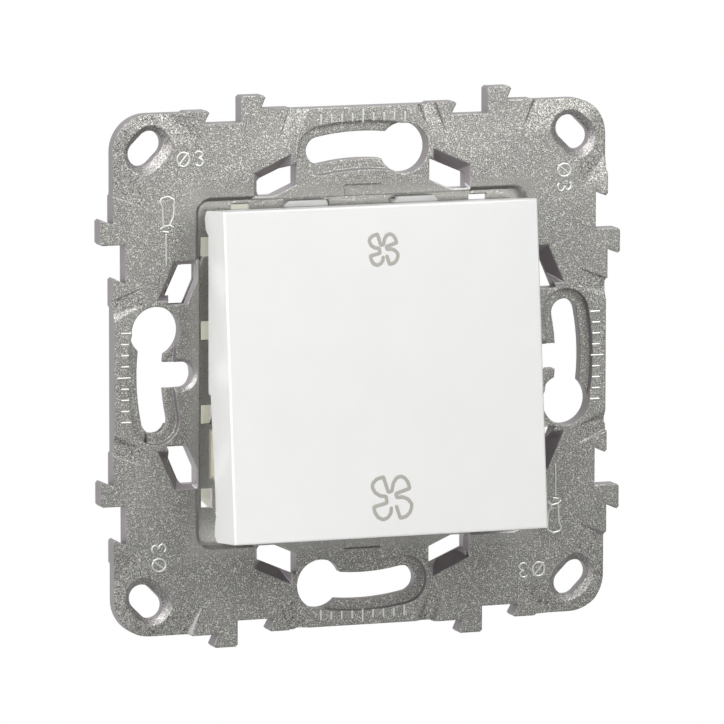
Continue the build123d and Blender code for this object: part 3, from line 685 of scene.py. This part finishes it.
class FANSWITCH_OT_marks(Operator):
    """Raised marks on the frame: ticks beside the keyholes, screwdrivers and hole diameters"""

    bl_idname = "fan_switch.marks"
    bl_label = "Raised marks"

    def execute(self, context):
        settings = context.scene.fan_switch_frame
        zinc = bpy.data.materials["cast_zinc"]
        ticks, diameters, drivers = [], [], []
        middle = TICK_COUNT // 2
        around = np.linspace(0.0, RING_TURN, RING_POINTS)
        circle = np.stack([np.cos(around), np.sin(around)], axis=1)
        ring = np.array(DIAMETER_CENTRE) + circle * DIAMETER_HALF
        for side in range(SIDES):
            for place in range(TICK_COUNT):
                ends = TICK_ENDS
                if place == middle:
                    ends = MIDDLE_TICK_ENDS
                elif place in (0, TICK_COUNT - 1):
                    ends = LAST_TICK_ENDS
                along = (place - middle) * TICK_PITCH
                ticks.append(rounded_line(turned([(along, ends[0]), (along, ends[1])], side)))
            for line in (ring, DIAMETER_SLASH, THREE):
                diameters.append(rounded_line(turned(line, side)))
        for side in (0, SIDES // 2):
            for line in (HANDLE, COLLAR, FERRULE, SHAFT):
                drivers.append(rounded_line(turned(line, side)))
        marks = {"tick_marks": ticks, "hole_marks": diameters, "screwdriver_marks": drivers}
        for name, lines in marks.items():
            mesh = raised_lines(name, lines, settings.mark_half_width, settings.mark_height, front_sheet())
            add_piece(name, mesh, zinc, FRAME_BODY)
        return {"FINISHED"}


class FANSWITCH_OT_key(Operator):
    """Glossy white key with a small and a large fan printed on it"""

    bl_idname = "fan_switch.key"
    bl_label = "Key"

    def execute(self, context):
        settings = context.scene.fan_switch_key
        gloss = moulded("key_plastic", settings.plastic, roughness=0.3, coat=0.3, wave=0.000002)
        rounded_copy("rocker_key", "white_key", settings.edge_round, gloss, KEY_BODY)
        ink = print_ink(settings.print_colour)
        line = rounded_line(FAN_LINE, turn=0.16, step=0.05)
        for name, scale, place in (
            ("small_fan", settings.low_scale, settings.low_place),
            ("large_fan", 1.0, settings.high_place),
        ):
            placed = line * scale + (0.0, place / MM)
            mesh = raised_lines(name, [placed], settings.line_half_width, settings.ink, key_sheet(settings))
            add_piece(name, mesh, ink, KEY_BODY)
        return {"FINISHED"}


class FANSWITCH_OT_mechanism(Operator):
    """Mouldings of the mechanism: cover, housing, cradle, plunger and release levers"""

    bl_idname = "fan_switch.mechanism"
    bl_label = "Mechanism"

    def execute(self, context):
        settings = context.scene.fan_switch_mouldings
        white = moulded("white_plastic", settings.white, roughness=0.38)
        natural = moulded("natural_plastic", settings.natural, roughness=0.42)
        dark = moulded("lever_plastic", settings.dark, roughness=0.45)
        rounded_copy(
            "mechanism_cover", "moulded_cover", settings.cover_round, white, FRAME_BODY
        )
        rounded_copy(
            "mechanism_housing", "moulded_housing", settings.housing_round, natural, FRAME_BODY,
        )
        dress(white, "rocker_cradle", "plunger")
        dress(dark, "common_release_lever", "low_speed_release_lever", "high_speed_release_lever")
        return {"FINISHED"}


class FANSWITCH_OT_contacts(Operator):
    """Metal pieces of the mechanism: strips, blade, rivets and springs"""

    bl_idname = "fan_switch.contacts"
    bl_label = "Contacts"

    def execute(self, context):
        settings = context.scene.fan_switch_contacts
        brass = rolled("brass_strip", settings.brass, roughness=0.3)
        copper = rolled("copper_strip", settings.copper, roughness=0.32)
        steel = rolled("spring_steel", settings.steel, roughness=0.28)
        silver = rolled("silver_contact", settings.silver, roughness=0.35)
        dress(brass, "common_terminal", "low_speed_terminal", "high_speed_terminal")
        dress(copper, "contact_blade")
        dress(steel, "plunger_spring")
        dress(steel, "common_clamp_spring", "low_speed_clamp_spring", "high_speed_clamp_spring")
        dress(silver, "low_moving_contact", "high_moving_contact")
        dress(silver, "low_fixed_contact", "high_fixed_contact")
        return {"FINISHED"}


def add_camera(settings):
    """A camera that looks at the middle of the frame's front."""
    turn = (
        Matrix.Rotation(settings.azimuth, 4, "Z")
        @ Matrix.Rotation(radians(90.0) - settings.elevation, 4, "X")
        @ Matrix.Rotation(settings.roll, 4, "Z")
    )
    camera = bpy.data.objects.new("camera", bpy.data.cameras.new("camera"))
    camera.data.sensor_width = SENSOR
    camera.data.lens = settings.lens
    camera.data.shift_x, camera.data.shift_y = (pixels / PICTURE for pixels in SHIFT)
    camera.data.clip_start = NEAREST
    camera.location = Vector((0.0, -FRONT * MM, 0.0)) + turn @ Vector((0.0, 0.0, settings.distance))
    camera.rotation_euler = turn.to_euler()
    bpy.context.scene.collection.objects.link(camera)
    bpy.context.scene.camera = camera


def add_lamp(name, place, size, power, glossy, diffuse):
    """A soft lamp at a place, turned to the switch."""
    light = bpy.data.lights.new(name, "AREA")
    light.shape = "RECTANGLE"
    light.size, light.size_y = size
    light.energy = power
    lamp = bpy.data.objects.new(name, light)
    lamp.location = place
    lamp.rotation_euler = (-Vector(place)).to_track_quat("-Z", "Y").to_euler()
    lamp.visible_glossy = glossy
    lamp.visible_diffuse = diffuse
    bpy.context.scene.collection.objects.link(lamp)


def studio_floor(drop):
    """A round floor: P(r, a) = (r cos a, r sin a, -drop), with rings that widen outwards."""
    radii = np.array(FLOOR_RINGS)
    around = np.linspace(0.0, 2.0 * pi, FLOOR_SIDES, endpoint=False)
    ring = np.stack([np.cos(around), np.sin(around)], axis=1)
    flat = (radii[:, None, None] * ring).reshape(-1, 2)
    points = np.column_stack([flat, np.full(len(flat), -drop)])
    index = np.arange(len(points)).reshape(len(radii), -1)
    following = np.roll(index, -1, axis=1)
    quads = np.stack([index[:-1], index[1:], following[1:], following[:-1]], axis=-1).reshape(-1, 4)
    mesh = bpy.data.meshes.new("studio_floor")
    mesh.from_pydata(points.tolist(), [], [index[0].tolist(), *quads.tolist()])
    return mesh


def floor_paper():
    """Pale paper that takes the shadow of the switch. Seen straight or mirrored, it is partly pure white near
    the switch, and wholly further away."""
    paper = Finish("floor_paper")
    seen = paper.ray("Camera").above(paper.ray("Glossy"))
    radius = paper.node("ShaderNodeVectorMath", {"operation": "LENGTH"}, {0: paper.place()}, "Value")
    white = seen * (FLOOR_WHITE + (1 - FLOOR_WHITE) * radius.step(*FLOOR_FADE))
    lit = paper.node("ShaderNodeBsdfDiffuse", sockets={"Color": FLOOR_COLOUR})
    glow = paper.node("ShaderNodeEmission", sockets={"Color": WHITE, "Strength": 1.0})
    return paper.close(paper.node("ShaderNodeMixShader", sockets={0: white, 1: lit, 2: glow}))


def surround():
    """A world that is white where it is seen, mirrored or shows through, and lights dull surfaces less."""
    sky = Finish("surround", "worlds")
    white = sky.ray("Camera").above(sky.ray("Transmission")).above(sky.ray("Glossy"))
    strength = SKY_LIGHT + white * (1 - SKY_LIGHT)
    back = sky.node("ShaderNodeBackground", sockets={"Color": WHITE, "Strength": strength})
    return sky.close(back, "ShaderNodeOutputWorld")


class FANSWITCH_OT_stage(Operator):
    """Camera, pale floor, white surround and soft lamps"""

    bl_idname = "fan_switch.stage"
    bl_label = "Stage"

    def execute(self, context):
        settings = context.scene.fan_switch_stage
        add_camera(settings)
        floor = bpy.data.objects.new("studio_floor", studio_floor(settings.floor_drop))
        floor.data.materials.append(floor_paper())
        context.scene.collection.objects.link(floor)
        context.scene.world = surround()
        for name, lamp in LAMPS.items():
            add_lamp(name, *lamp)
        context.scene.view_settings.view_transform = "Standard"
        return {"FINISHED"}


class FANSWITCH_PT_pieces(Panel):
    """Lists the pieces of the fan switch with their sizes and colours"""

    bl_idname = "FANSWITCH_PT_pieces"
    bl_label = "Fan switch"
    bl_space_type = "VIEW_3D"
    bl_region_type = "UI"
    bl_category = "Fan switch"

    def draw(self, context):
        for operator in OPERATORS:
            self.layout.operator(operator.bl_idname)
        for name, group in GROUPS.items():
            for setting in group.__annotations__:
                self.layout.prop(getattr(context.scene, name), setting)


OPERATORS = (
    FANSWITCH_OT_frame,
    FANSWITCH_OT_marks,
    FANSWITCH_OT_key,
    FANSWITCH_OT_mechanism,
    FANSWITCH_OT_contacts,
    FANSWITCH_OT_stage,
)
GROUPS = {
    "fan_switch_frame": FrameSettings,
    "fan_switch_key": KeySettings,
    "fan_switch_mouldings": MouldingSettings,
    "fan_switch_contacts": ContactSettings,
    "fan_switch_stage": StageSettings,
}


def register():
    for kind in (*GROUPS.values(), *OPERATORS, FANSWITCH_PT_pieces):
        bpy.utils.register_class(kind)
    for name, group in GROUPS.items():
        setattr(bpy.types.Scene, name, PointerProperty(type=group))


def unregister():
    for name in GROUPS:
        delattr(bpy.types.Scene, name)
    for kind in reversed((*GROUPS.values(), *OPERATORS, FANSWITCH_PT_pieces)):
        bpy.utils.unregister_class(kind)


def main():
    """Registers the add-on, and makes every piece."""
    register()
    bpy.ops.fan_switch.frame()
    bpy.ops.fan_switch.marks()
    bpy.ops.fan_switch.key()
    bpy.ops.fan_switch.mechanism()
    bpy.ops.fan_switch.contacts()
    bpy.ops.fan_switch.stage()


if __name__ == "__main__":
    main()
